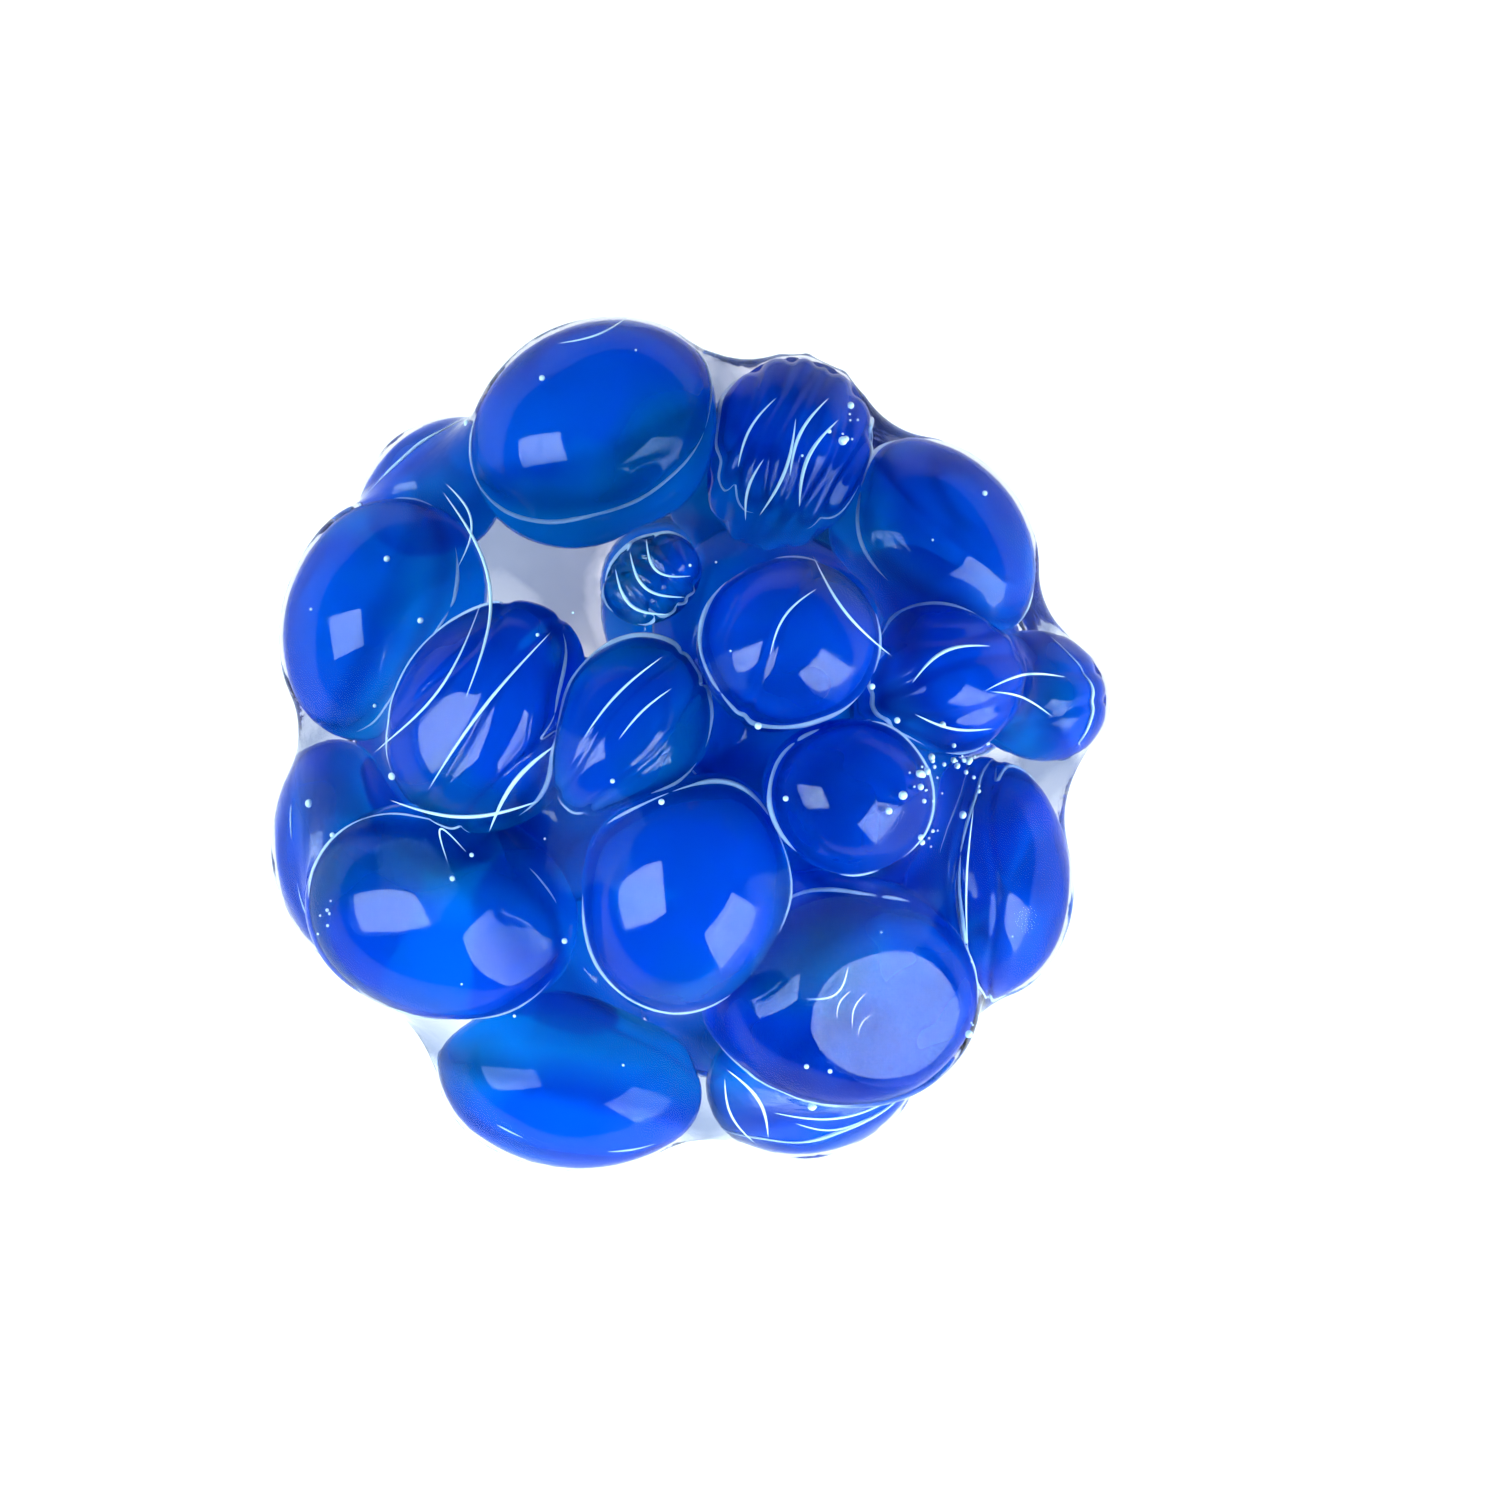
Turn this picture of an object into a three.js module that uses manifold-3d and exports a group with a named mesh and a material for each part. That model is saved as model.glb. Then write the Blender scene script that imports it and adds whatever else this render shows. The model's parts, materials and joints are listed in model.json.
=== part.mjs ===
// A squeeze ball: soft gel beads packed inside a clear skin that is stretched tight over them, with a plug
// in the hole the beads went in by. Millimetres, +Z up, standing on z = 0 with the origin under its middle.
import * as THREE from 'three';
import { mergeVertices } from 'three/addons/utils/BufferGeometryUtils.js';
import Module from 'manifold-3d';

// driving dimensions
const centreHeight = 26; // middle of the ball above the table
const skinWall = 0.8;
const clearance = 0.3; // between pieces that touch
const skinClearance = 0.75; // skin to bead, measured outwards from the middle
const beadFloor = 1.5; // lowest a bead comes
const skinFloor = 0.2; // lowest the skin comes, just short of the plug's face
const restRadius = 9; // flat on which the ball sits
const plugRadius = 5.5;
const plugHeight = 1.1;
const plugEdge = 0.3;
const lowerRing = { count: 6, radius: 16.5, height: -12.5, start: 190, span: 238 };
const baseRing = { count: 3, radius: 8.2, height: -18.5, start: 75, span: 240 };

const beadDetail = 2;
const skinDetail = 11;
const contactSharpness = 24; // how square a bead's edge is where it meets its neighbour
const filmTension = 0.85; // 0 leaves a round ball, 1 a film with no pressure behind it
const filmSteps = 400;
const farOutside = 40;

// Each bead: centre from the middle of the ball, half sizes [long, across, deep], and the turn of its long
// side from +X in degrees. Deep is along Z.
const crownBeads = [
  { at: [-13.2, 1.6, 13.5], half: [8.6, 6.8, 6.8], turn: 58 },
  { at: [-4.2, 0.4, 16], half: [7.5, 5.4, 6.4], turn: 56 },
  { at: [6.8, 6.4, 18], half: [6.2, 5.9, 6.4], turn: 10 },
  { at: [10.8, -3.6, 17.5], half: [5.8, 5.3, 6.2], turn: -15 },
  { at: [0, -9.8, 16], half: [8.9, 7.1, 7.2], turn: 78 },
  { at: [-2.3, 11.0, 18.5], half: [3.6, 2.8, 3.0], turn: 35 },
];
const upperBeads = [
  { at: [-6.3, 21.3, 5.5], half: [9.3, 7.7, 7.6], turn: 28 },
  { at: [17.0, 4.2, 9], half: [6.3, 5.2, 6.4], turn: 0 },
  { at: [10.2, -16.8, 9], half: [10.2, 8.1, 7.8], turn: -15 },
  { at: [-16.8, -11.6, 7], half: [10.0, 7.5, 7.8], turn: -8 },
  { at: [5.0, 1.6, 7], half: [6.6, 6.0, 6.0], turn: 40 },
];
const middleBeads = [
  { at: [6.8, 19.6, 5], half: [7.4, 6.0, 7.2], turn: 76 },
  { at: [16.7, 13.5, 2.5], half: [8.4, 6.8, 7.6], turn: -48 },
  { at: [24.2, 3.2, -1], half: [5.4, 4.4, 6.4], turn: -12 },
  { at: [20.5, -9.3, 1], half: [8.8, 6.0, 7.6], turn: 96 },
  { at: [8.5, -23.6, -5], half: [7.6, 5.6, 7.2], turn: 10 },
  { at: [-8.3, -23.6, -2], half: [9.8, 6.4, 7.6], turn: -5 },
  { at: [-24.0, -7.8, -4], half: [8.4, 5.3, 7.6], turn: 96 },
  { at: [-21.2, 8.7, 2], half: [9.2, 6.9, 7.6], turn: 68 },
  { at: [-17.9, 17.5, -5], half: [6.2, 4.7, 6.3], turn: 44 },
  { at: [-7.5, -4.0, 0], half: [8.0, 7.0, 7.0], turn: 20 },
  { at: [7.5, -7.0, -2], half: [8.0, 7.0, 7.0], turn: -30 },
  { at: [4.5, 8.0, -5], half: [7.0, 6.6, 7.0], turn: 0 },
];

// Beads spread evenly over an arc at one height.
function ringOfBeads({ count, radius, height, start, span }, half) {
  return Array.from({ length: count }, (_, n) => {
    const turn = start + (n * span) / (count - 1);
    const angle = THREE.MathUtils.degToRad(turn);
    return { at: [radius * Math.cos(angle), radius * Math.sin(angle), height], half, turn: turn + 90 };
  });
}

const layers = {
  crown: crownBeads,
  upper: upperBeads,
  middle: middleBeads,
  lower: ringOfBeads(lowerRing, [8.0, 6.8, 7.4]),
  base: ringOfBeads(baseRing, [8.2, 7.4, 6.8]),
};

// ---- beads ----

const upright = new THREE.Vector3(0, 0, 1);

const beads = Object.entries(layers).flatMap(([layer, list]) =>
  list.map(({ at, half, turn }, n) => ({
    name: `${layer}_bead_${n + 1}`,
    centre: new THREE.Vector3(at[0], at[1], at[2] + centreHeight),
    half: new THREE.Vector3(...half),
    turn: THREE.MathUtils.degToRad(turn),
  })),
);

// Distance from a bead's centre to its own egg-shaped surface in a direction.
function eggRadius(bead, direction) {
  const local = direction.clone().applyAxisAngle(upright, -bead.turn).divide(bead.half);
  return 1 / local.length();
}

// Flats that a bead is pressed against: one halfway to each neighbour, and the floor of the skin.
function contactFlats(bead) {
  const flats = [{ normal: new THREE.Vector3(0, 0, -1), reach: bead.centre.z - beadFloor }];
  for (const other of beads) {
    if (other === bead) continue;
    const normal = other.centre.clone().sub(bead.centre);
    const apart = normal.length();
    normal.normalize();
    const own = eggRadius(bead, normal);
    const theirs = eggRadius(other, normal.clone().negate());
    flats.push({ normal, reach: own + (apart - own - theirs - clearance) / 2 });
  }
  return flats;
}

// The egg and its flats blended into one convex surface that lies inside all of them.
function beadRadius(bead, flats, direction) {
  let sum = eggRadius(bead, direction) ** -contactSharpness;
  for (const { normal, reach } of flats) {
    const facing = normal.dot(direction);
    if (facing > 0) sum += (facing / reach) ** contactSharpness;
  }
  return sum ** (-1 / contactSharpness);
}

function unitSphere(detail) {
  const sphere = new THREE.IcosahedronGeometry(1, detail);
  sphere.deleteAttribute('normal');
  sphere.deleteAttribute('uv');
  return mergeVertices(sphere);
}

// Pushes each point of a unit sphere out to the radius that a function gives for its direction.
function shapeSphere(sphere, radiusAt) {
  const shaped = sphere.clone();
  const position = shaped.getAttribute('position');
  const point = new THREE.Vector3();
  for (let n = 0; n < position.count; n += 1) {
    point.fromBufferAttribute(position, n).normalize();
    point.multiplyScalar(radiusAt(point.clone(), n));
    position.setXYZ(n, point.x, point.y, point.z);
  }
  shaped.computeVertexNormals();
  return shaped;
}

const beadSphere = unitSphere(beadDetail);

function makeBead(bead) {
  const flats = contactFlats(bead);
  const gel = new THREE.MeshStandardMaterial({ color: 0x0a3fd8, roughness: 0.12, metalness: 0 });
  const mesh = new THREE.Mesh(shapeSphere(beadSphere, (direction) => beadRadius(bead, flats, direction)), gel);
  mesh.name = bead.name;
  mesh.position.copy(bead.centre);
  mesh.updateMatrixWorld();
  return mesh;
}

const beadMeshes = beads.map(makeBead);

// ---- skin ----

const middle = new THREE.Vector3(0, 0, centreHeight);

// How far out the skin must stay in each direction to pass over the beads and the resting flat.
function skinRests(directions) {
  const caster = new THREE.Raycaster();
  return directions.map((direction) => {
    const start = direction.clone().multiplyScalar(farOutside).add(middle);
    caster.set(start, direction.clone().negate());
    const hit = caster.intersectObjects(beadMeshes, false)[0];
    const overBead = hit ? farOutside - hit.distance + skinClearance : 0;
    const toFloor = floorReach(direction, skinFloor + skinWall);
    const aside = toFloor * Math.hypot(direction.x, direction.y);
    return Math.min(toFloor, aside < restRadius ? toFloor : overBead);
  });
}

// Distance from the middle of the ball down to a level, along a direction; endless if it points up.
function floorReach(direction, level) {
  return direction.z < 0 ? (centreHeight - level) / -direction.z : Infinity;
}

function neighboursOf(sphere) {
  const index = sphere.getIndex().array;
  const near = Array.from({ length: sphere.getAttribute('position').count }, () => new Set());
  for (let n = 0; n < index.length; n += 3) {
    for (const [a, b] of [[0, 1], [1, 2], [2, 0]]) {
      near[index[n + a]].add(index[n + b]);
      near[index[n + b]].add(index[n + a]);
    }
  }
  return near.map((set) => [...set]);
}

// A film drawn tight over the beads: each free point settles to the average of those round it, pulled
// inwards as a curved film is, and is stopped by what lies under it.
function tightFilm(sphere, directions) {
  const near = neighboursOf(sphere);
  const rests = skinRests(directions);
  const pull = near.map((list, n) => {
    const spread = list.reduce((sum, m) => sum + directions[n].angleTo(directions[m]) ** 2, 0) / list.length;
    return (filmTension * spread) / 2;
  });
  let film = directions.map(() => farOutside);
  for (let step = 0; step < filmSteps; step += 1) {
    film = film.map((reach, n) => {
      const mean = near[n].reduce((sum, m) => sum + film[m], 0) / near[n].length;
      return Math.max(rests[n], mean - pull[n] * reach);
    });
  }
  return film.map((reach, n) => Math.min(reach, floorReach(directions[n], skinFloor + skinWall)));
}

const wasm = await Module();
wasm.setup();

function toSolid(geometry) {
  const bare = geometry.clone();
  bare.deleteAttribute('normal');
  bare.deleteAttribute('uv');
  const merged = mergeVertices(bare);
  return new wasm.Manifold(new wasm.Mesh({
    numProp: 3,
    vertProperties: new Float32Array(merged.getAttribute('position').array),
    triVerts: new Uint32Array(merged.getIndex().array),
  }));
}

function toGeometry(solid) {
  const { vertProperties, triVerts } = solid.getMesh();
  const geometry = new THREE.BufferGeometry();
  geometry.setAttribute('position', new THREE.BufferAttribute(vertProperties, 3));
  geometry.setIndex(new THREE.BufferAttribute(triVerts, 1));
  geometry.computeVertexNormals();
  return geometry;
}

function makeSkin() {
  const sphere = unitSphere(skinDetail);
  const position = sphere.getAttribute('position');
  const directions = Array.from({ length: position.count }, (_, n) =>
    new THREE.Vector3().fromBufferAttribute(position, n).normalize());
  const film = tightFilm(sphere, directions);
  const outer = shapeSphere(sphere, (direction, n) =>
    Math.min(film[n] + skinWall, floorReach(direction, skinFloor)));
  const inner = shapeSphere(sphere, (_, n) => film[n]);
  const hole = new THREE.CylinderGeometry(plugRadius + clearance, plugRadius + clearance, 6, 40);
  hole.rotateX(Math.PI / 2);
  hole.translate(0, 0, -centreHeight);
  const shell = toSolid(outer).subtract(toSolid(inner)).subtract(toSolid(hole));
  const clear = new THREE.MeshStandardMaterial({
    color: 0xdfe3f4, roughness: 0.08, metalness: 0, transparent: true, opacity: 0.3,
  });
  const mesh = new THREE.Mesh(toGeometry(shell), clear);
  mesh.name = 'skin';
  mesh.position.copy(middle);
  return mesh;
}

// ---- fill plug ----

function makePlug() {
  const outline = [
    [0, 0],
    [plugRadius - plugEdge, 0],
    [plugRadius, plugEdge],
    [plugRadius, plugHeight - plugEdge],
    [plugRadius - plugEdge, plugHeight],
    [0, plugHeight],
  ].map(([x, y]) => new THREE.Vector2(x, y));
  const turned = new THREE.LatheGeometry(outline, 40);
  turned.rotateX(Math.PI / 2);
  const clear = new THREE.MeshStandardMaterial({ color: 0xd5dbf0, roughness: 0.2, metalness: 0 });
  const mesh = new THREE.Mesh(turned, clear);
  mesh.name = 'fill_plug';
  return mesh;
}

// ---- assembly ----

const ball = new THREE.Group();
const skin = makeSkin();
ball.add(skin, ...beadMeshes, makePlug());

// The origin goes under the middle of the ball's outline.
const extent = new THREE.Box3().setFromObject(skin, true);
ball.position.set(-(extent.min.x + extent.max.x) / 2, -(extent.min.y + extent.max.y) / 2, 0);

export default ball;
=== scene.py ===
# Bead-filled squeeze ball: gel beads, stretched skin, fill plug and trapped bubbles,
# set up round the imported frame
import json
import math

import bmesh
import bpy
import numpy as np
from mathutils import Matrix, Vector
from mathutils.bvhtree import BVHTree


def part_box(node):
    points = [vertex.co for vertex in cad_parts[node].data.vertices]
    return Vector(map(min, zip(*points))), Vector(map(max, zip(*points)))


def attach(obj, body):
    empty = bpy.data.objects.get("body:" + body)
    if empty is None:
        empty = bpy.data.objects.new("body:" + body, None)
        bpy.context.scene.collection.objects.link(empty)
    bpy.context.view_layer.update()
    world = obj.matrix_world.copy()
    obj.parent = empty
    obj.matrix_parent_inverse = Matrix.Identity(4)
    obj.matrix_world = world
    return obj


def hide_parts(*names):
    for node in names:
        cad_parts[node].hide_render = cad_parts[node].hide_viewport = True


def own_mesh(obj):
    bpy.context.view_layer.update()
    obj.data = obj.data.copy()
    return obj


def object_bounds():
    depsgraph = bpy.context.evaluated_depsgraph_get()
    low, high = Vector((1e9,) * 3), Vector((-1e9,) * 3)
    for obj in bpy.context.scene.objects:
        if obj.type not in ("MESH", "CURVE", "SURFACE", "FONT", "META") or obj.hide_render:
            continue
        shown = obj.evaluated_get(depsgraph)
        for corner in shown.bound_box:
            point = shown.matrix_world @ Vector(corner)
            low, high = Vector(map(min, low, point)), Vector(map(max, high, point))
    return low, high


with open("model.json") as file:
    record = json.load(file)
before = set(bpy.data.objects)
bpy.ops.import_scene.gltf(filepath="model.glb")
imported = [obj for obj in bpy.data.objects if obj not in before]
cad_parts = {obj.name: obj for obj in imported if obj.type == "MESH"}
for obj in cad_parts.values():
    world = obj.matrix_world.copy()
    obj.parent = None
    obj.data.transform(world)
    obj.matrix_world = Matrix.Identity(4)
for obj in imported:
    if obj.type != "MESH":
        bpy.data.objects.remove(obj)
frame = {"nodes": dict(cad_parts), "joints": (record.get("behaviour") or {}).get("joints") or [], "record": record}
cadLow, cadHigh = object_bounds()
behaviour = frame["record"]["behaviour"]
restingBody = next(b for b, nodes in behaviour["bodies"].items() if "skin" in nodes)
ballMiddle = Vector((0, 0, (cadHigh.z + cadLow.z) / 2))
print("frame loaded,", len(frame["nodes"]), "nodes")


# shader maths written as plain expressions
class Value:
    def __init__(self, nodes, socket):
        self.nodes = nodes
        self.socket = socket

    def maths(self, operation, *others):
        return self.nodes.add("ShaderNodeMath", {"operation": operation}, [self, *others])

    def __add__(self, other):
        return self.maths("ADD", other)

    __radd__ = __add__

    def __sub__(self, other):
        return self.maths("SUBTRACT", other)

    def __rsub__(self, other):
        return self.nodes.add("ShaderNodeMath", {"operation": "SUBTRACT"}, [other, self])

    def __mul__(self, other):
        return self.maths("MULTIPLY", other)

    __rmul__ = __mul__


class NodeTree:
    def __init__(self, tree):
        self.tree = tree

    # one node from its type, its settings and what goes into its sockets; gives one of its outputs
    def add(self, kind, settings=None, inputs=None, output=0):
        node = self.tree.nodes.new(kind)
        for key, setting in (settings or {}).items():
            if key == "stops":
                ramp = node.color_ramp
                while len(ramp.elements) < len(setting):
                    ramp.elements.new(1)
                for stop, (place, colour) in zip(ramp.elements, setting):
                    stop.position = place
                    stop.color = colour
            else:
                setattr(node, key, setting)
        pairs = inputs.items() if isinstance(inputs, dict) else enumerate(inputs or [])
        for key, given in pairs:
            self.plug(node.inputs[key], given)
        return Value(self, node.outputs[output])

    # one colour laid over another by a mask, through the colour sockets of a Mix node
    def blend(self, mask, under, over):
        maskSocket, underSocket, overSocket, result = 0, 6, 7, 2
        inputs = {maskSocket: mask, underSocket: under, overSocket: over}
        return self.add("ShaderNodeMix", {"data_type": "RGBA"}, inputs, output=result)

    def plug(self, socket, given):
        if isinstance(given, Value):
            self.tree.links.new(given.socket, socket)
        else:
            socket.default_value = given


class Shader(NodeTree):
    def __init__(self, name):
        self.material = bpy.data.materials.new(name)
        self.material.use_nodes = True
        super().__init__(self.material.node_tree)
        self.tree.nodes.clear()
        self.surface = self.tree.nodes.new("ShaderNodeBsdfPrincipled")
        output = self.tree.nodes.new("ShaderNodeOutputMaterial")
        self.tree.links.new(self.surface.outputs["BSDF"], output.inputs["Surface"])

    def finish(self, **inputs):
        for name, given in inputs.items():
            self.plug(self.surface.inputs[name.replace("_", " ")], given)
        return self.material


def opaque(r, g, b):
    return (r, g, b, 1)


# what changes over the surface of a material
def placeOn(shader):
    return shader.add("ShaderNodeTexCoord", output="Object")


def cloudiness(shader, place, scale, detail):
    return shader.add("ShaderNodeTexNoise", {}, {"Vector": place, "Scale": scale, "Detail": detail})


def relief(shader, height, look):
    inputs = {"Strength": look["reliefShare"], "Distance": look["reliefHeight"], "Height": height}
    return shader.add("ShaderNodeBump", {}, inputs)


def laidOn(shader, name):
    return shader.add("ShaderNodeAttribute", {"attribute_name": name}, output="Fac")


glossLoss = 1.4  # how fast gloss goes as a surface turns away


# gloss that is strongest face on, so that the rims stay deep in colour
def facingGloss(shader, strength):
    edge = shader.add("ShaderNodeLayerWeight", {}, {"Blend": 0.5}, output="Facing")
    settings = {"operation": "SUBTRACT", "use_clamp": True}
    kept = shader.add("ShaderNodeMath", settings, [1, edge * glossLoss])
    return kept * strength


# camera, lights and floor
cameraLook = {
    "height": 0.46,
    "shownWidth": 0.1072,
    "aside": 0.0042,
    "below": -0.0002,
    "sensor": 36,
    "nearest": 0.01,
}


def setCamera(look):
    lens = bpy.data.cameras.new("camera")
    lens.sensor_width = look["sensor"]
    lens.lens = look["sensor"] * look["height"] / look["shownWidth"]
    lens.clip_start = look["nearest"]
    camera = bpy.data.objects.new("camera", lens)
    camera.location = (look["aside"], look["below"], ballMiddle.z + look["height"])
    bpy.context.scene.collection.objects.link(camera)
    bpy.context.scene.camera = camera


coolTint = (0.66, 0.94, 1.0)
lightLook = {
    "window": {"towards": (0.74, -0.57, 0.38), "away": 0.45, "size": (0.36, 0.46), "watts": 7.5},
    "sideBox": {"towards": (-0.73, -0.15, 0.66), "away": 0.45, "size": (0.26, 0.36), "watts": 4.2},
}
# the pale sweep that stands behind the ball, and the dim room above it that its gloss mirrors
roomLook = {"sweep": 0.92, "overhead": 0.06, "sweepTop": 0.05, "dimFrom": 0.35}
floorLook = {
    "grey": opaque(0.45, 0.45, 0.45),
    "roughness": 0.9,
    "glow": opaque(1, 1, 1),
    "glowStrength": 0.8,
    "reach": 2.0,
    "level": -0.0001,  # just under the plug's face
}


def setLights():
    for name, look in lightLook.items():
        lamp = bpy.data.lights.new(name, "AREA")
        lamp.shape = "RECTANGLE"
        lamp.size, lamp.size_y = look["size"]
        lamp.energy = look["watts"]
        lamp.color = coolTint
        light = bpy.data.objects.new(name, lamp)
        away = Vector(look["towards"]).normalized()
        light.location = ballMiddle + away * look["away"]
        light.rotation_euler = away.to_track_quat("Z", "Y").to_euler()
        bpy.context.scene.collection.objects.link(light)
    bpy.context.scene.world = paleRoom(roomLook)


def paleRoom(look):
    room = bpy.data.worlds.new("room")
    room.use_nodes = True
    nodes = NodeTree(room.node_tree)
    direction = nodes.add("ShaderNodeTexCoord", output="Generated")
    height = nodes.add("ShaderNodeSeparateXYZ", {}, [direction], output="Z")
    fading = [height, look["sweepTop"], look["dimFrom"], look["sweep"], look["overhead"]]
    fade = nodes.add("ShaderNodeMapRange", {}, fading)
    straight = nodes.add("ShaderNodeLightPath", output="Is Camera Ray")
    seen = nodes.add("ShaderNodeMix", {}, {"Factor": straight, "A": fade, "B": look["sweep"]})
    nodes.plug(room.node_tree.nodes["Background"].inputs["Strength"], seen)
    return room


def paleFloor(look):
    shader = Shader("pale_floor")
    material = shader.finish(
        Base_Color=look["grey"], Roughness=look["roughness"],
        Emission_Color=look["glow"], Emission_Strength=look["glowStrength"]
    )
    mesh = bpy.data.meshes.new("floor")
    reach = look["reach"]
    corners = [(x * reach, y * reach, look["level"]) for x, y in ((-1, -1), (1, -1), (1, 1), (-1, 1))]
    mesh.from_pydata(corners, [], [(0, 1, 2, 3)])
    mesh.materials.append(material)
    floor = bpy.data.objects.new("floor", mesh)
    bpy.context.scene.collection.objects.link(floor)


setCamera(cameraLook)
setLights()
paleFloor(floorLook)
bpy.context.scene.view_settings.view_transform = "Standard"
print("camera, lights and floor set")


# shared mesh helpers
farOutside = 0.06  # further from the middle than any surface of the ball
overhead = 0.12  # higher than any surface of the ball


def icoSphere(level):
    ball = bmesh.new()
    bmesh.ops.create_icosphere(ball, subdivisions=level, radius=1)
    points = np.array([v.co for v in ball.verts])
    faces = np.array([[v.index for v in f.verts] for f in ball.faces])
    ball.free()
    return points / np.linalg.norm(points, axis=1)[:, None], faces


def newPiece(name, points, faces, *materials):
    mesh = bpy.data.meshes.new(name)
    mesh.from_pydata(points.tolist(), [], faces if isinstance(faces, list) else faces.tolist())
    mesh.polygons.foreach_set("use_smooth", [True] * len(mesh.polygons))
    for material in materials:
        mesh.materials.append(material)
    mesh.update()
    piece = bpy.data.objects.new(name, mesh)
    bpy.context.scene.collection.objects.link(piece)
    return piece


# a number laid on every corner of a piece, for its material to read
def addValues(piece, name, values):
    layer = piece.data.attributes.new(name, "FLOAT", "POINT")
    layer.data.foreach_set("value", values)


def cornersOf(piece):
    return np.array([v.co for v in piece.data.vertices])


def nodePoints(node):
    return cornersOf(frame["nodes"][node])


# squeezing: every layer sinks in proportion to its height; the travel and each layer's share of it are worked out
# here
squeezeTravel = next(j for j in frame["joints"] if j["name"] == "squeeze")["range_m"][1]
crownHeight = 0.044  # the height whose sinking is the whole travel of the squeeze
squeezeKeep = 1 - squeezeTravel / crownHeight
layerShare = {"crown_layer": 1.0, restingBody: 0.0}
for coupling in behaviour["couplings"]:
    layer = next(j["child"] for j in frame["joints"] if j["name"] == coupling["joint"])
    layerShare[layer] = coupling["ratio"]


def flattenWith(piece, body):
    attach(piece, body)
    anchor = (0, 0, layerShare[body] * crownHeight)
    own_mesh(piece)


# gel beads
beadLook = {
    "level": 5,
    "rounding": 20,
    "navy": opaque(0.0, 0.030, 0.32),
    "cobalt": opaque(0.0, 0.095, 0.75),
    "azure": opaque(0.0, 0.30, 0.87),
    "teal": opaque(0.0, 0.11, 0.24),
    "cloudShare": 0.75,
    "toneShare": 0.30,
    # painted glow: how far the depth under the film lightens the gel towards azure, standing in for light let
    # through it
    "paintedGlowShare": 0.50,
    "patchFrom": 0.56,
    "patchFull": 0.70,
    "patchShade": 0.85,
    # painted shade: how dark, where and how wide the navy band is that stands in for the dark refracted outline
    # round each bead
    "rimShade": 0.6,
    "rimPlace": 0.33,
    "rimWidth": 0.12,
    "clear": 0.62,
    "bending": 1.08,
    "wet": 0.6,
    "wetRoughness": 0.03,
    "smooth": 0.05,
    "smeared": 0.12,
    "lumps": 4.2,
    "lumpHeight": 0.00016,
    "lumpsFrom": -0.6,  # how far down a bead its lumps reach, and its folds
    "foldsFrom": -0.2,
    "cloudSize": 0.011,
    "patchSize": 0.013,
    "grainSize": 0.0009,
    "reliefShare": 0.10,
    "reliefHeight": 0.0002,
    "toneSeed": 4,
    "shapeSeed": 9,
}
# folds in the gel, as lines across a bead seen from above: the way they run, how far off the middle each
# lies, and how wide and deep it is, in parts of the bead's own size
beadFolds = {
    "crown_bead_1": {"turn": 52, "lines": [0.05, 0.62, -0.55], "width": 0.05, "depth": 0.035},
    "crown_bead_2": {"turn": 48, "lines": [0.25, -0.35], "width": 0.05, "depth": 0.03},
    "crown_bead_3": {"turn": 60, "lines": [0.12], "width": 0.05, "depth": 0.03},
    "crown_bead_6": {"turn": 140, "lines": [-0.6, -0.2, 0.2, 0.6], "width": 0.13, "depth": 0.10},
    "middle_bead_1": {
        "turn": 68, "lines": [-0.75, -0.45, -0.1, 0.2, 0.5, 0.8], "width": 0.09, "depth": 0.07
    },
    "middle_bead_4": {"turn": 88, "lines": [-0.1, 0.3], "width": 0.05, "depth": 0.04},
    "upper_bead_2": {"turn": 15, "lines": [-0.5, 0.1, 0.55], "width": 0.10, "depth": 0.05},
    "middle_bead_3": {"turn": 8, "lines": [-0.3, 0.3], "width": 0.10, "depth": 0.05},
}


def cobaltGel(look):
    shader = Shader("cobalt_gel")
    place = placeOn(shader)
    cloud = cloudiness(shader, place, 1 / look["cloudSize"], 2.0)
    tone = laidOn(shader, "tone") * look["toneShare"]
    # the cloud and the per-bead tone are random tone; the depth under the film adds painted glow, lighter towards
    # azure the deeper the gel lies
    shade = cloud * look["cloudShare"] + tone + laidOn(shader, "depth") * look["paintedGlowShare"]
    stops = [(0.34, look["navy"]), (0.56, look["cobalt"]), (0.72, look["cobalt"]), (0.98, look["azure"])]
    colour = shader.add("ShaderNodeValToRGB", {"stops": stops}, [shade])
    patch = cloudiness(shader, place, 1 / look["patchSize"], 1.0)
    fading = [patch, look["patchFrom"], look["patchFull"], 0.0, look["patchShade"]]
    colour = shader.blend(shader.add("ShaderNodeMapRange", {}, fading), colour, look["teal"])
    # painted shade: a navy band where the bead turns away from the outside of the ball, standing in for its dark
    # refracted outline
    colour = shader.blend(laidOn(shader, "rim") * look["rimShade"], colour, look["navy"])
    grain = cloudiness(shader, place, 1 / look["grainSize"], 3.0)
    return shader.finish(
        Base_Color=colour, Roughness=look["smooth"] + look["smeared"] * cloud,
        IOR=look["bending"], Transmission_Weight=look["clear"],
        Coat_Weight=facingGloss(shader, look["wet"]), Coat_Roughness=look["wetRoughness"],
        Normal=relief(shader, grain, look)
    )


# a broad flat worn by the film on one bead: the way it faces, and how deep it is cut
beadFlats = {
    "upper_bead_3": {"faces": (0.34, -0.28, 0.90), "depth": 0.0017},
    "crown_bead_1": {"faces": (-0.38, -0.05, 0.92), "depth": 0.0005},
    "upper_bead_4": {"faces": (0.40, -0.36, 0.84), "depth": 0.0006},
}


flatSharpness = 40  # how crisp the edge of a flat is


def flattened(directions, radius, flat):
    way = np.array(flat["faces"]) / np.linalg.norm(flat["faces"])
    reach = (directions * radius[:, None] @ way).max() - flat["depth"]
    facing = np.maximum(directions @ way, 1e-6)
    edged = radius ** -flatSharpness + (facing / reach) ** flatSharpness
    return edged ** (-1 / flatSharpness)


foldBow = {"aside": 0.08, "turns": 2.5, "shift": 5}


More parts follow.
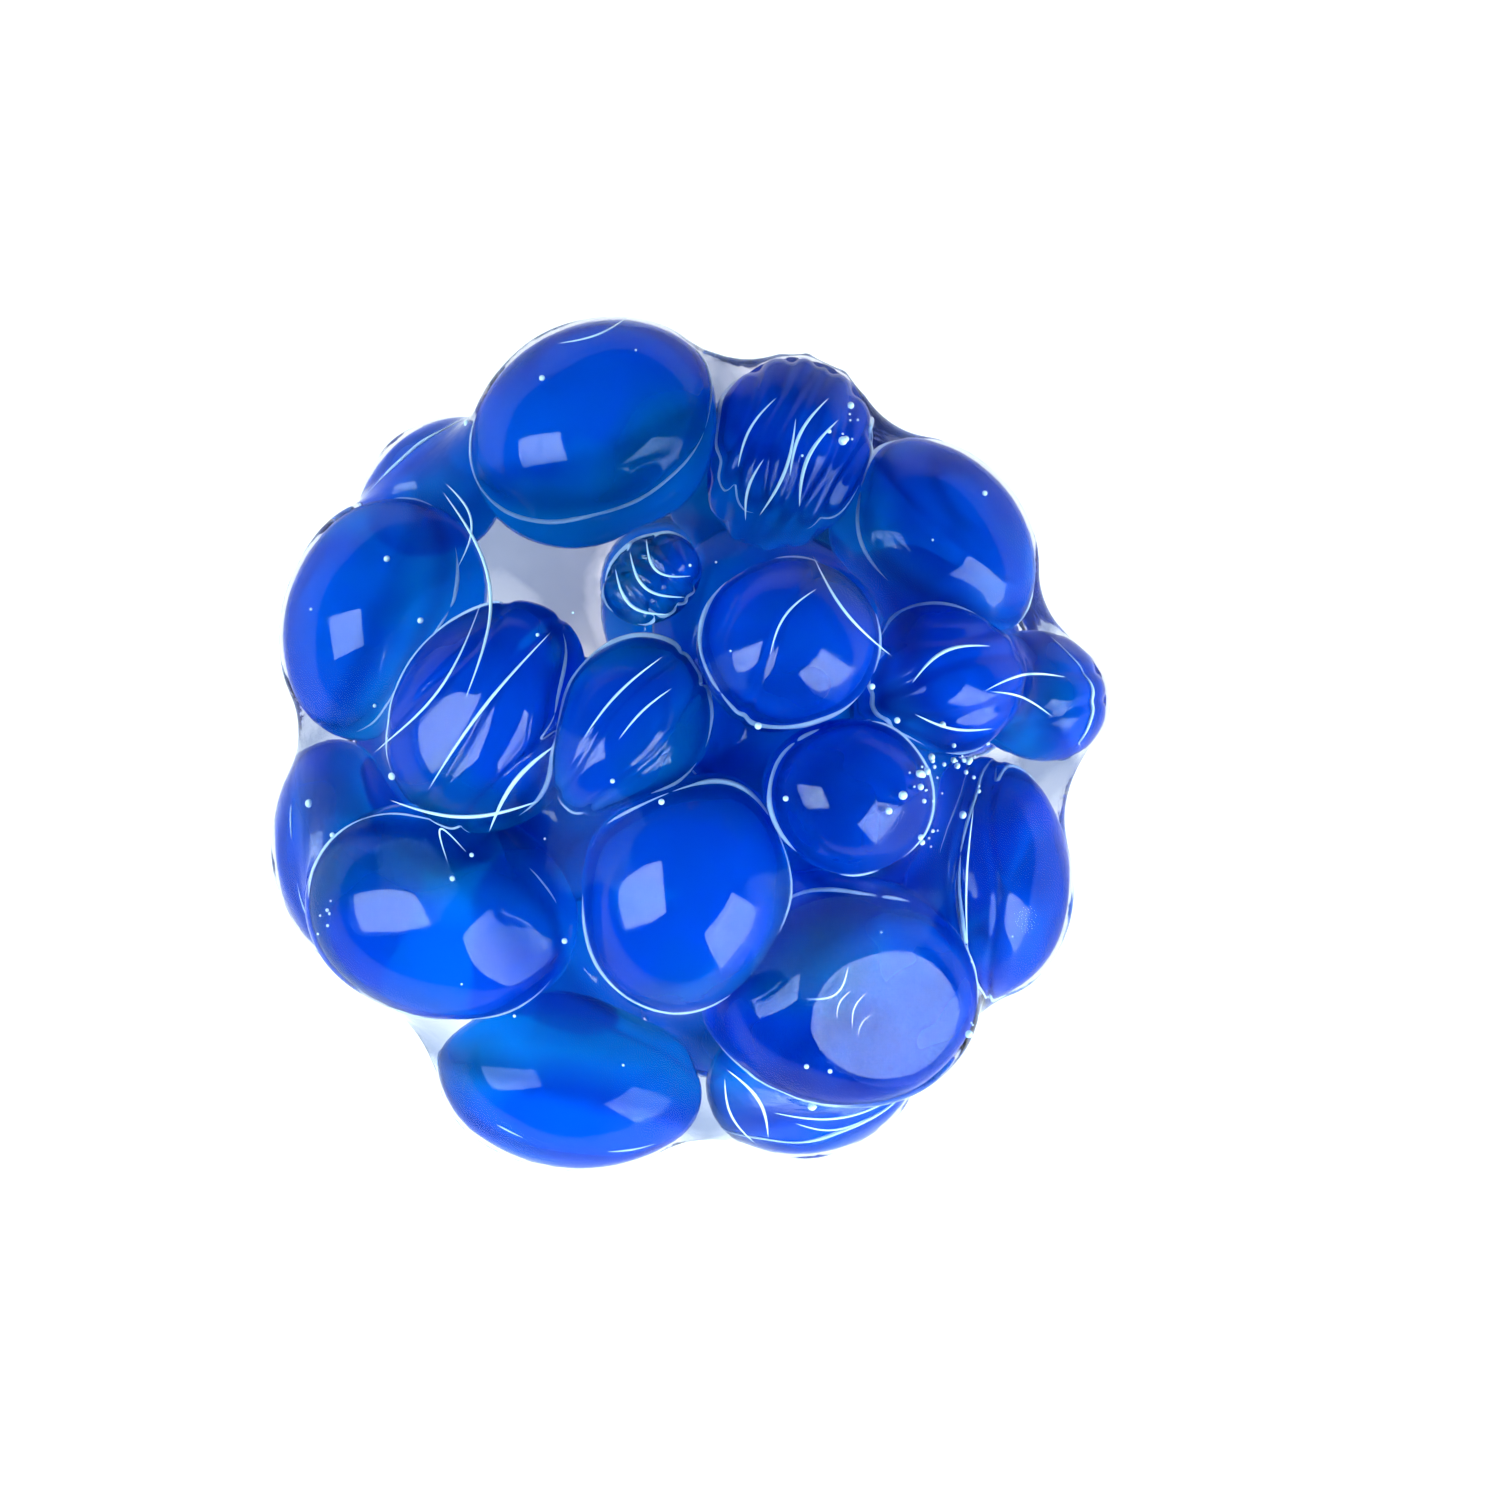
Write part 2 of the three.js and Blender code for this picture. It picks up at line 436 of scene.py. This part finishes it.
# Grooves pressed into a surface along gently bowed lines across it
def foldDepth(points, half, folds):
    turn = math.radians(folds["turn"])
    across = (points[:, 1] * math.cos(turn) - points[:, 0] * math.sin(turn)) / half
    along = (points[:, 0] * math.cos(turn) + points[:, 1] * math.sin(turn)) / half
    depth = np.zeros(len(points))
    for line in folds["lines"]:
        bow = foldBow["aside"] * np.sin(foldBow["turns"] * along + foldBow["shift"] * line)
        bowed = across - line - bow
        depth += folds["depth"] * np.exp(-((bowed / folds["width"]) ** 2))
    return depth * half


# The way out of the ball from a bead, leaning up or down with the half of the ball it is in
def wayOut(corners):
    way = corners.mean(axis=0) - np.array(ballMiddle)
    way /= np.linalg.norm(way)
    way[2] += np.sign(way[2])
    return way / np.linalg.norm(way)


# How squarely each corner of a bead faces out of the ball
def facingOut(piece):
    normals = np.array([v.normal for v in piece.data.vertices])
    return normals @ wayOut(cornersOf(piece))


# A bead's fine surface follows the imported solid's corners, averaged over the directions near each point
def gelBead(node, material, look):
    folds = beadFolds.get(node)
    directions, faces = icoSphere(look["level"] + (1 if folds else 0))
    rough = nodePoints(node)
    middle = (rough.min(axis=0) + rough.max(axis=0)) / 2
    spokes = rough - middle
    reach = np.linalg.norm(spokes, axis=1)
    spokes /= reach[:, None]
    nearness = np.exp(look["rounding"] * (directions @ spokes.T - 1))
    radius = (nearness @ reach) / nearness.sum(axis=1)
    if node in beadFlats:
        radius = flattened(directions, radius, beadFlats[node])
    phases = shapeDraws.random(3) * 2 * math.pi
    waves = np.sin(directions * look["lumps"] + phases).prod(axis=1)
    radius += waves * look["lumpHeight"] * np.clip(directions[:, 2] - look["lumpsFrom"], 0, 1)
    if folds:
        size = (rough.max(axis=0) - rough.min(axis=0))[:2].min() / 2
        depth = foldDepth(directions * radius[:, None], size, folds)
        radius -= depth * (directions[:, 2] > look["foldsFrom"])
    piece = newPiece("gel_" + node, middle + directions * radius[:, None], faces, material)
    addValues(piece, "tone", np.full(len(directions), toneDraws.random()))
    # where the painted rim shade falls: a band round the bead's outline as seen from outside the ball
    fromRim = (facingOut(piece) - look["rimPlace"]) / look["rimWidth"]
    addValues(piece, "rim", np.exp(-(fromRim ** 2)))
    return piece


toneDraws = np.random.default_rng(beadLook["toneSeed"])
shapeDraws = np.random.default_rng(beadLook["shapeSeed"])
beadNodes = {n: b for b, nodes in behaviour["bodies"].items() for n in nodes if "bead" in n}
gelMaterial = cobaltGel(beadLook)
gelBeads = {node: gelBead(node, gelMaterial, beadLook) for node in beadNodes}
print("gel beads made:", len(gelBeads))


# skin
skinLook = {
    "level": 7,
    "wall": 0.0006,
    "clearance": 0.0001,
    "tension": 1.5,
    "steps": 500,
    "restRadius": 0.009,
    "holeGap": 0.0003,
    "clear": opaque(0.86, 0.85, 0.90),
    "deepFluid": opaque(0.54, 0.57, 0.68),
    "fluidFrom": 0.001,
    "fluidDepth": 0.006,  # the depth at which fluid shows its full colour
    "fluidShare": 0.7,
    "fluidSmear": 0.6,
    "bending": 1.05,
    "gloss": 0.03,
    "glossRoughness": 0.04,
    "smooth": 0.02,
    "smeared": 0.06,
    "smears": 260.0,
    "ripples": 700.0,
    "reliefShare": 0.12,
    "reliefHeight": 0.0003,
    "freeFrom": 0.0004,  # how high over the beads the film starts to wave, and how soon it waves fully
    "freeOver": 0.0015,
    "waveSize": 0.0035,
    "waveHeight": 0.00005,
    "waveRadius": 0.026,
    "waves": [([1.7, 0.6, 0.9], 1.3, 0), ([-0.5, 1.6, 0.4], 1.1, 1)],
}
# the wet inner side bends nothing and has no gloss, so that the film acts as one thin wall
liningBending = 1.0
liningGloss = 0.0


def clearSkin(name, look, bending, gloss):
    shader = Shader(name)
    place = placeOn(shader)
    smear = cloudiness(shader, place, look["smears"], 3.0)
    ripple = cloudiness(shader, place, look["ripples"], 2.0)
    fluid = laidOn(shader, "fluid") * (look["fluidShare"] + look["fluidSmear"] * smear)
    return shader.finish(
        Base_Color=shader.blend(fluid, look["clear"], look["deepFluid"]),
        Roughness=look["smooth"] + look["smeared"] * smear,
        IOR=bending, Transmission_Weight=1.0,
        Coat_Weight=facingGloss(shader, gloss), Coat_Roughness=look["glossRoughness"],
        Normal=relief(shader, ripple, look)
    )


def treeOf(pieces):
    points = []
    faces = []
    for piece in pieces:
        start = len(points)
        points += [v.co.copy() for v in piece.data.vertices]
        faces += [[start + v for v in p.vertices] for p in piece.data.polygons]
    return BVHTree.FromPolygons(points, faces)


def ringOfNeighbours(faces, count):
    near = [set() for _ in range(count)]
    for a, b, c in faces.tolist():
        near[a].update((b, c))
        near[b].update((a, c))
        near[c].update((a, b))
    # the few points with five neighbours count themselves as the sixth
    return np.array([list(s) if len(s) == 6 else list(s) + [n] for n, s in enumerate(near)])


# How far from the middle of the ball a surface lies in each direction, 0 where there is none
def reachOf(pieces, directions):
    tree = treeOf(pieces)
    reach = np.zeros(len(directions))
    for n, way in enumerate(directions):
        away = Vector(way)
        hit = tree.ray_cast(ballMiddle + away * farOutside, -away)
        if hit[0] is not None:
            reach[n] = farOutside - hit[3]
    return reach


# The film is drawn tight over whatever lies under it, as a stretched rubber skin is
def tightFilm(directions, near, film, rests, look):
    apart = 1 - np.einsum("ij,ikj->ik", directions, directions[near])
    pull = look["tension"] * apart.mean(axis=1)
    for _ in range(look["steps"]):
        film = np.maximum(rests, film[near].mean(axis=1) - pull * film)
    return film


def drawnFilm(look):
    directions, faces = icoSphere(look["level"])
    middle = np.array(ballMiddle)
    beadReach = reachOf(gelBeads.values(), directions)
    rests = beadReach + look["clearance"]
    start = reachOf([frame["nodes"]["skin"]], directions) - look["wall"]
    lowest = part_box("skin")[0].z
    leastDown = 0.1  # keeps the way to the floor finite for what points sideways
    down = np.maximum(-directions[:, 2], leastDown)
    innerFloor = (middle[2] - lowest - look["wall"]) / down
    outerFloor = (middle[2] - lowest) / down
    aside = np.hypot(directions[:, 0], directions[:, 1]) * innerFloor
    onFlat = (directions[:, 2] < 0) & (aside < look["restRadius"])
    rests = np.where(onFlat, innerFloor, np.minimum(rests, innerFloor))
    near = ringOfNeighbours(faces, len(directions))
    film = np.minimum(tightFilm(directions, near, start, rests, look), innerFloor)
    lift = np.where(onFlat, 0, film - beadReach)
    # the film waves where nothing holds it from below
    free = np.clip((lift - look["freeFrom"]) / look["freeOver"], 0, 1)
    phase = directions / look["waveSize"] * look["waveRadius"]
    waves = np.ones(len(directions))
    for way, rate, shift in look["waves"]:
        waves *= np.sin(phase @ way * rate + shift)
    film = np.minimum(film + look["waveHeight"] * free * (1 + waves), innerFloor)
    outer = np.minimum(film + look["wall"], outerFloor)
    return {
        "directions": directions, "faces": faces, "inner": middle + directions * film[:, None],
        "outer": middle + directions * outer[:, None], "lift": lift
    }


# The skin's two sides, with the fill hole cut through at the bottom and a wall round the hole
def stretchedSkin(film, look):
    faces = film["faces"]
    count = len(film["directions"])
    low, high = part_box("fill_plug")
    hole = (high.x - low.x) / 2 + look["holeGap"]
    holeMiddle = np.array([(high.x + low.x) / 2, (high.y + low.y) / 2])
    flat = film["outer"][:, :2] - holeMiddle
    aside = np.hypot(flat[:, 0], flat[:, 1])
    cut = (aside < hole) & (film["directions"][:, 2] < 0)
    kept = faces[~cut[faces].any(axis=1)]
    dropped = faces[cut[faces].any(axis=1)]
    rim = np.setdiff1d(np.intersect1d(kept, dropped), np.flatnonzero(cut))
    outer = film["outer"].copy()
    inner = film["inner"].copy()
    for side in (outer, inner):
        side[rim, :2] = holeMiddle + flat[rim] * (hole / aside[rim])[:, None]
    edges = dict.fromkeys(pair for a, b, c in kept.tolist() for pair in ((a, b), (b, c), (c, a)))
    wall = [(b, a, a + count, b + count) for a, b in edges if (b, a) not in edges]
    allFaces = kept.tolist() + (kept[:, ::-1] + count).tolist() + wall
    outside = clearSkin("skin_outside", look, look["bending"], look["gloss"])
    wetLining = clearSkin("wet_lining", look, liningBending, liningGloss)
    piece = newPiece("stretch_skin", np.concatenate([outer, inner]), allFaces, outside, wetLining)
    materialOf = [0] * len(kept) + [1] * len(kept) + [0] * len(wall)
    piece.data.polygons.foreach_set("material_index", materialOf)
    fluid = np.clip((film["lift"] - look["fluidFrom"]) / look["fluidDepth"], 0, 1)
    addValues(piece, "fluid", np.tile(fluid, 2))
    shell = bmesh.new()
    shell.from_mesh(piece.data)
    bmesh.ops.delete(shell, geom=[v for v in shell.verts if not v.link_faces], context="VERTS")
    shell.to_mesh(piece.data)
    shell.free()
    return piece


film = drawnFilm(skinLook)
skin = stretchedSkin(film, skinLook)
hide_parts("skin")
flattenWith(skin, restingBody)
filmTree = BVHTree.FromPolygons(film["outer"].tolist(), film["faces"].tolist())


# How deep each corner of a piece lies under the film, up to 1 where fluid shows its full colour
def depthUnder(piece, look):
    under = []
    for corner in piece.data.vertices:
        out = corner.co - ballMiddle
        away = out.normalized()
        hit = filmTree.ray_cast(ballMiddle + away * farOutside, -away)
        reach = farOutside - hit[3] if hit[0] is not None else 0
        under.append(min(max(reach - out.length, 0) / look["fluidDepth"], 1))
    return under


for node, piece in gelBeads.items():
    # the depth under the film, which the gel's colour turns into painted glow
    addValues(piece, "depth", depthUnder(piece, skinLook))
    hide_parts(node)
    flattenWith(piece, beadNodes[node])
print("skin stretched over the beads")

# thin threads of fluid along the outlines of the beads and fine creases in the film, both drawn pale: on the
# threads a painted highlight, on the creases partly painted highlight, partly scratch
threadLook = {
    "turnsAway": 0.16,
    "proud": 0.00006,
    "hidden": 0.0003,
    "thickness": 0.00021,
    "thinnest": 0.2,
    "amount": 0.45,
    "swing": 0.7,
    "beats": 5,  # how often a thread swells on its way round a bead, and how strongly
    "beatShare": 0.7,
    "shortestLine": 20,
    "shortestStretch": 8,
    "smoothing": 3,
    "tip": 0.000002,
    "flatness": 0.7,
    "sides": 6,
    "creaseSteps": 26,
    "creaseShare": 0.6,
    "seed": 11,
    # pale: painted highlight colour of the threads; on the creases partly painted highlight, partly scratch
    "pale": opaque(0.62, 0.82, 1.0),
    "roughness": 0.15,
    "bending": 1.2,
    "clear": 0.25,
    "body": 0.85,
    "gloss": 0.8,
}


# Lines on a mesh along which a value crosses a level
def linesAtLevel(points, faces, value, level, shortest):
    crossings = {}
    links = {}
    above = value > level
    mixed = above[faces].any(axis=1) & ~above[faces].all(axis=1)
    for a, b, c in faces[mixed].tolist():
        edges = [(min(pair), max(pair)) for pair in ((a, b), (b, c), (c, a))]
        keys = [(low, high) for low, high in edges if above[low] != above[high]]
        for low, high in keys:
            part = (level - value[low]) / (value[high] - value[low])
            crossings[low, high] = points[low] * (1 - part) + points[high] * part
        links.setdefault(keys[0], []).append(keys[1])
        links.setdefault(keys[1], []).append(keys[0])
    lines = []
    left = dict.fromkeys(links)
    while left:
        here = next(iter(left))
        line = []
        while here is not None:
            left.pop(here)
            line.append(crossings[here])
            here = next((k for k in links[here] if k in left), None)
        if len(line) > shortest:
            lines.append(np.array(line))
    return lines


def smoothed(line, rounds):
    for _ in range(rounds):
        line = (np.roll(line, 1, axis=0) + 2 * line + np.roll(line, -1, axis=0)) / 4
    return line


# A thread of its own thickness at each point of a line
def addThread(line, thickness, points, faces, look):
    start = len(points)
    sides = look["sides"]
    thickness = np.maximum(thickness, look["tip"])
    forward = np.gradient(line, axis=0)
    forward /= np.linalg.norm(forward, axis=1)[:, None] + 1e-12
    up = line - np.array(ballMiddle)
    up /= np.linalg.norm(up, axis=1)[:, None]
    across = np.cross(forward, up)
    turns = np.linspace(0, 2 * math.pi, sides, endpoint=False)
    for n, place in enumerate(line):
        for turn in turns:
            raised = up[n] * math.sin(turn) * look["flatness"]
            points.append(place + (across[n] * math.cos(turn) + raised) * thickness[n])
    for n in range(len(line) - 1):
        for k in range(sides):
            a = start + n * sides + k
            b = start + n * sides + (k + 1) % sides
            faces.append((a, b, b + sides, a + sides))
    faces.append(tuple(range(start, start + sides))[::-1])
    faces.append(tuple(range(len(points) - sides, len(points))))


# Whether nothing lies over each point of a line, seen from outside the ball
def openTo(tree, line, outwards, look):
    way = Vector(outwards)
    starts = [Vector(place + outwards * look["hidden"]) for place in line]
    return np.array([tree.ray_cast(start, way, farOutside)[0] is None for start in starts])


# How full a thread is along its way round a bead, with random swells
def fullness(count, draws, look):
    share = np.linspace(0, 2 * math.pi, count, endpoint=False)
    swell = np.sin(share * draws.integers(1, 3) + draws.random() * 6)
    swell += look["beatShare"] * np.sin(share * look["beats"] + draws.random() * 6)
    return np.clip(swell * look["swing"] + look["amount"], 0, 1)


# Pale threads, painted highlight lines, run where a bead turns away from whoever looks at the ball, and no other
# bead lies over it
def highlightThreads(look):
    points = []
    faces = []
    draws = np.random.default_rng(look["seed"])
    allBeads = treeOf(gelBeads.values())
    for bead in gelBeads.values():
        corners = cornersOf(bead)
        sides = np.array([f.vertices for f in bead.data.polygons])
        outwards = wayOut(corners)
        for line in linesAtLevel(corners, sides, facingOut(bead), look["turnsAway"], look["shortestLine"]):
            line = smoothed(line, look["smoothing"])
            ways = line - corners.mean(axis=0)
            line += ways / np.linalg.norm(ways, axis=1)[:, None] * look["proud"]
            seen = openTo(allBeads, line, outwards, look)
            full = fullness(len(line), draws, look) * seen
            breaks = np.flatnonzero(np.diff(full > 0) != 0) + 1
            for stretch in np.split(np.arange(len(line)), breaks):
                if full[stretch[0]] > 0 and len(stretch) > look["shortestStretch"]:
                    ends = np.sin(np.linspace(0, math.pi, len(stretch))) ** 0.5
                    thickness = look["thickness"] * (look["thinnest"] + full[stretch]) * ends
                    addThread(line[stretch], thickness, points, faces, look)
    return np.array(points), faces


# Creases and scratches, each on one bead and drawn pale, partly painted highlight: the way it runs, how far off
# the bead's middle it lies, where it starts and ends and how much it bows, in parts of the bead's half width, and
# its weight
creases = [
    ("crown_bead_1", 52, 0.02, -0.95, 1.05, 0.06, 1.0),
    ("crown_bead_1", 54, 0.75, -1.0, 0.9, -0.2, 0.8),
    ("crown_bead_1", 52, -0.72, -0.9, 0.2, 0.1, 1.3),
    ("crown_bead_2", 46, 0.35, -0.5, 0.9, 0.08, 0.7),
    ("crown_bead_2", 44, 0.02, -0.2, 0.7, 0.05, 0.6),
    ("crown_bead_3", 55, 0.1, -0.2, 0.75, 0.12, 0.6),
    ("middle_bead_4", 88, 0.15, -0.9, 0.8, 0.05, 0.8),
    ("middle_bead_1", 66, -0.35, -0.5, 0.7, 0.15, 1.2),
    ("middle_bead_1", 70, 0.1, -0.8, 0.5, -0.1, 1.0),
    ("middle_bead_1", 62, 0.5, -0.4, 0.6, 0.1, 0.8),
    ("middle_bead_3", 10, 0.2, -0.8, 0.6, 0.15, 0.8),
    ("middle_bead_3", -20, -0.2, -0.7, 0.4, 0.1, 0.7),
    ("upper_bead_2", 25, 0.1, -0.3, 0.9, 0.2, 1.0),
    ("upper_bead_2", -10, -0.5, -0.2, 0.9, -0.1, 0.8),
    ("upper_bead_3", 38, 0.06, -0.26, 0.18, -0.12, 0.6),
    ("upper_bead_3", 62, -0.14, -0.24, 0.02, 0.04, 0.4),
    ("upper_bead_3", 68, -0.27, -0.28, 0.04, 0.05, 0.42),
    ("upper_bead_3", 58, -0.40, -0.28, -0.04, 0.04, 0.32),
    ("middle_bead_5", 6, -0.42, -0.5, 1.1, -0.18, 1.2),
    ("middle_bead_5", 2, -0.62, -0.2, 0.7, -0.12, 0.9),
    ("middle_bead_5", 118, 0.85, -0.5, 0.6, -0.15, 1.1),
    ("middle_bead_5", 112, 0.98, -0.6, 0.4, 0.12, 0.7),
    ("middle_bead_1", 64, -0.1, -0.2, 0.9, 0.12, 1.1),
    ("middle_bead_1", 74, 0.3, -0.9, -0.1, 0.08, 0.8),
    ("middle_bead_8", 98, -0.72, -0.9, 1.15, -0.36, 1.2),
    ("middle_bead_8", 100, -0.80, 0.35, 1.20, -0.20, 0.8),
    ("middle_bead_2", -52, -0.95, -0.6, 0.6, -0.1, 0.9),
    ("upper_bead_4", 0, 1.0, -0.5, 0.9, -0.15, 1.1),
    ("upper_bead_4", 30, 0.35, 0.25, 0.45, 0.3, 0.6),
    ("upper_bead_1", 28, 0.86, 0.1, 0.9, -0.1, 0.8),
    ("crown_bead_6", 140, 0.35, -0.8, 0.8, 0.4, 0.9),
    ("crown_bead_6", 140, -0.15, -0.8, 0.8, 0.4, 0.9),
    ("crown_bead_6", 140, -0.6, -0.6, 0.7, 0.4, 0.8),
]


def creasePath(node, turn, aside, first, last, bow, steps):
    low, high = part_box(node)
    middle = (low + high) / 2
    half = min(high.x - low.x, high.y - low.y) / 2
    along = Vector((math.cos(math.radians(turn)), math.sin(math.radians(turn)), 0))
    across = Vector((-along.y, along.x, 0))
    path = []
    for step in np.linspace(first, last, steps):
        swing = aside + bow * math.sin(math.pi * (step - first) / (last - first))
        over = middle + (along * step + across * swing) * half
        hit = filmTree.ray_cast(Vector((over.x, over.y, overhead)), Vector((0, 0, -1)))
        if hit[0] is not None:
            path.append(np.array(hit[0]))
    return np.array(path)


def filmCreases(look):
    points = []
    faces = []
    for node, turn, aside, first, last, bow, weight in creases:
        path = creasePath(node, turn, aside, first, last, bow, look["creaseSteps"])
        ends = np.sin(np.linspace(0, math.pi, len(path))) ** 0.7
        thickness = look["thickness"] * look["creaseShare"] * weight * ends
        addThread(path, thickness, points, faces, look)
    return np.array(points), faces


# Small air bubbles: clusters and single ones, each cluster beside a bead
bubbleLook = {
    "level": 2,
    "smallest": 0.00008,
    "largest": 0.00036,
    "fewLarge": 2.5,
    "single": 40,
    "within": 0.93,
    "sunk": 0.4,
    "seed": 7,
    # painted reflection: the bubbles' pale colour stands in for the bright rims of air in fluid
    "paintedGlintPale": opaque(0.72, 0.88, 1.0),
    "roughness": 0.08,
    "bending": 1.3,
    "clear": 0.35,
    "gloss": 1.0,
}
# each cluster: its bead, its place in parts of the bead's half box, how far it spreads and its bubbles
bubbleClusters = [
    ("middle_bead_1", (0.75, 0.35), 0.0022, 9),
    ("middle_bead_4", (-0.35, 0.92), 0.0026, 16),
    ("middle_bead_4", (-0.75, 0.75), 0.0020, 10),
    ("upper_bead_2", (0.4, -1.0), 0.0022, 10),
    ("upper_bead_4", (-0.85, -0.10), 0.0011, 7),
    ("crown_bead_4", (1.05, -0.55), 0.0014, 6),
    ("upper_bead_3", (0.98, -0.30), 0.0012, 4),
]


# Places high over the ball, each of which a bubble is dropped from
def bubblePlaces(look, draws):
    places = []
    for node, (aside, up), spread, count in bubbleClusters:
        low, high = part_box(node)
        middle = (low + high) / 2
        across = middle.x + aside * (high.x - low.x) / 2
        along = middle.y + up * (high.y - low.y) / 2
        for _ in range(count):
            offset = draws.normal(0, spread / 2, 2)
            places.append(Vector((across + offset[0], along + offset[1], overhead)))
    ballHalf = (cadHigh.x - cadLow.x) / 2
    for _ in range(look["single"]):
        turn = draws.random() * 2 * math.pi
        reach = ballHalf * look["within"] * math.sqrt(draws.random())
        places.append(Vector((reach * math.cos(turn), reach * math.sin(turn), overhead)))
    return places


def airBubbles(look):
    draws = np.random.default_rng(look["seed"])
    shape, shapeFaces = icoSphere(look["level"])
    points = []
    faces = []
    for place in bubblePlaces(look, draws):
        hit = filmTree.ray_cast(place, Vector((0, 0, -1)))
        if hit[0] is None or hit[0].z < ballMiddle.z:
            continue
        share = draws.random() ** look["fewLarge"]
        size = look["smallest"] + (look["largest"] - look["smallest"]) * share
        inwards = (ballMiddle - hit[0]).normalized()
        centre = np.array(hit[0] + inwards * (size * look["sunk"]))
        faces += (shapeFaces + len(points)).tolist()
        points += list(centre + shape * size)
    shader = Shader("air_in_fluid")
    # the pale base colour is a painted reflection in place of the bubbles' bright rims
    material = shader.finish(
        Base_Color=look["paintedGlintPale"], Roughness=look["roughness"], IOR=look["bending"],
        Transmission_Weight=look["clear"], Coat_Weight=look["gloss"]
    )
    return newPiece("air_bubbles", np.array(points), faces, material)


def threadPiece(name, points, faces, look):
    shader = Shader(name + "_fluid")
    # the pale base colour is a painted highlight on the threads, and partly painted highlight, partly scratch on
    # the creases
    material = shader.finish(
        Base_Color=look["pale"], Roughness=look["roughness"], IOR=look["bending"],
        Transmission_Weight=look["clear"], Alpha=look["body"], Coat_Weight=look["gloss"]
    )
    return newPiece(name, points, faces, material)


threads = threadPiece("highlight_threads", *highlightThreads(threadLook), threadLook)
creaseLines = threadPiece("film_creases", *filmCreases(threadLook), threadLook)
bubbles = airBubbles(bubbleLook)
for piece in (threads, creaseLines, bubbles):
    flattenWith(piece, restingBody)
print("fluid threads, creases and bubbles laid")

# fill plug: a turned button with a rounded edge, a moulded ring and a dimple, seen from below
weldReach = 0.000001
plugLook = {
    "spin": 72,
    "edge": 0.0003,
    "ring": {"radius": 0.0038, "half": 0.00045, "depth": 0.0002},
    "dimple": {"radius": 0.0012, "depth": 0.00035},
    "milky": opaque(0.80, 0.84, 0.93),
    "dull": opaque(0.66, 0.74, 0.9),
    "haze": 420.0,
    "smooth": 0.22,
    "smeared": 0.2,
    "clear": 0.35,
    "reliefShare": 0.2,
    "reliefHeight": 0.0002,
}


def milkyRubber(look):
    shader = Shader("milky_rubber")
    haze = cloudiness(shader, placeOn(shader), look["haze"], 4.0)
    return shader.finish(
        Base_Color=shader.blend(haze, look["milky"], look["dull"]),
        Roughness=look["smooth"] + look["smeared"] * haze,
        Transmission_Weight=look["clear"], Normal=relief(shader, haze, look)
    )


def fillPlug(look):
    low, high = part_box("fill_plug")
    reach = (high.x - low.x) / 2
    rise = high.z - low.z
    edge = look["edge"]
    quarter = np.linspace(0, math.pi / 2, 6)
    corner = [(reach - edge + edge * math.sin(t), edge - edge * math.cos(t)) for t in quarter]
    groove = look["ring"]
    half = np.linspace(math.pi, 0, 9)
    ring = [(groove["radius"] + groove["half"] * math.cos(t), groove["depth"] * math.sin(t)) for t in half]
    bowl = look["dimple"]
    parts = (0.0, 0.25, 0.5, 0.75, 0.9, 1.0)
    dimple = [(bowl["radius"] * t, bowl["depth"] * (1 - t * t)) for t in parts]
    top = [(r, rise - z) for r, z in reversed(corner)] + [(0.0, rise)]
    outline = dimple + ring + corner + top
    middle = (low + high) / 2
    points = []
    for n in range(look["spin"]):
        turn = 2 * math.pi * n / look["spin"]
        across, along = math.cos(turn), math.sin(turn)
        points += [(middle.x + r * across, middle.y + r * along, low.z + z) for r, z in outline]
    length = len(outline)
    faces = []
    for n in range(look["spin"]):
        after = (n + 1) % look["spin"]
        for k in range(length - 1):
            faces.append((n * length + k, after * length + k, after * length + k + 1, n * length + k + 1))
    plug = newPiece("plug_button", np.array(points), faces, milkyRubber(look))
    turned = bmesh.new()
    turned.from_mesh(plug.data)
    bmesh.ops.remove_doubles(turned, verts=turned.verts, dist=weldReach)
    bmesh.ops.recalc_face_normals(turned, faces=turned.faces)
    turned.to_mesh(plug.data)
    turned.free()
    return plug


plug = fillPlug(plugLook)
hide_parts("fill_plug")
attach(plug, restingBody)
print("fill plug turned")
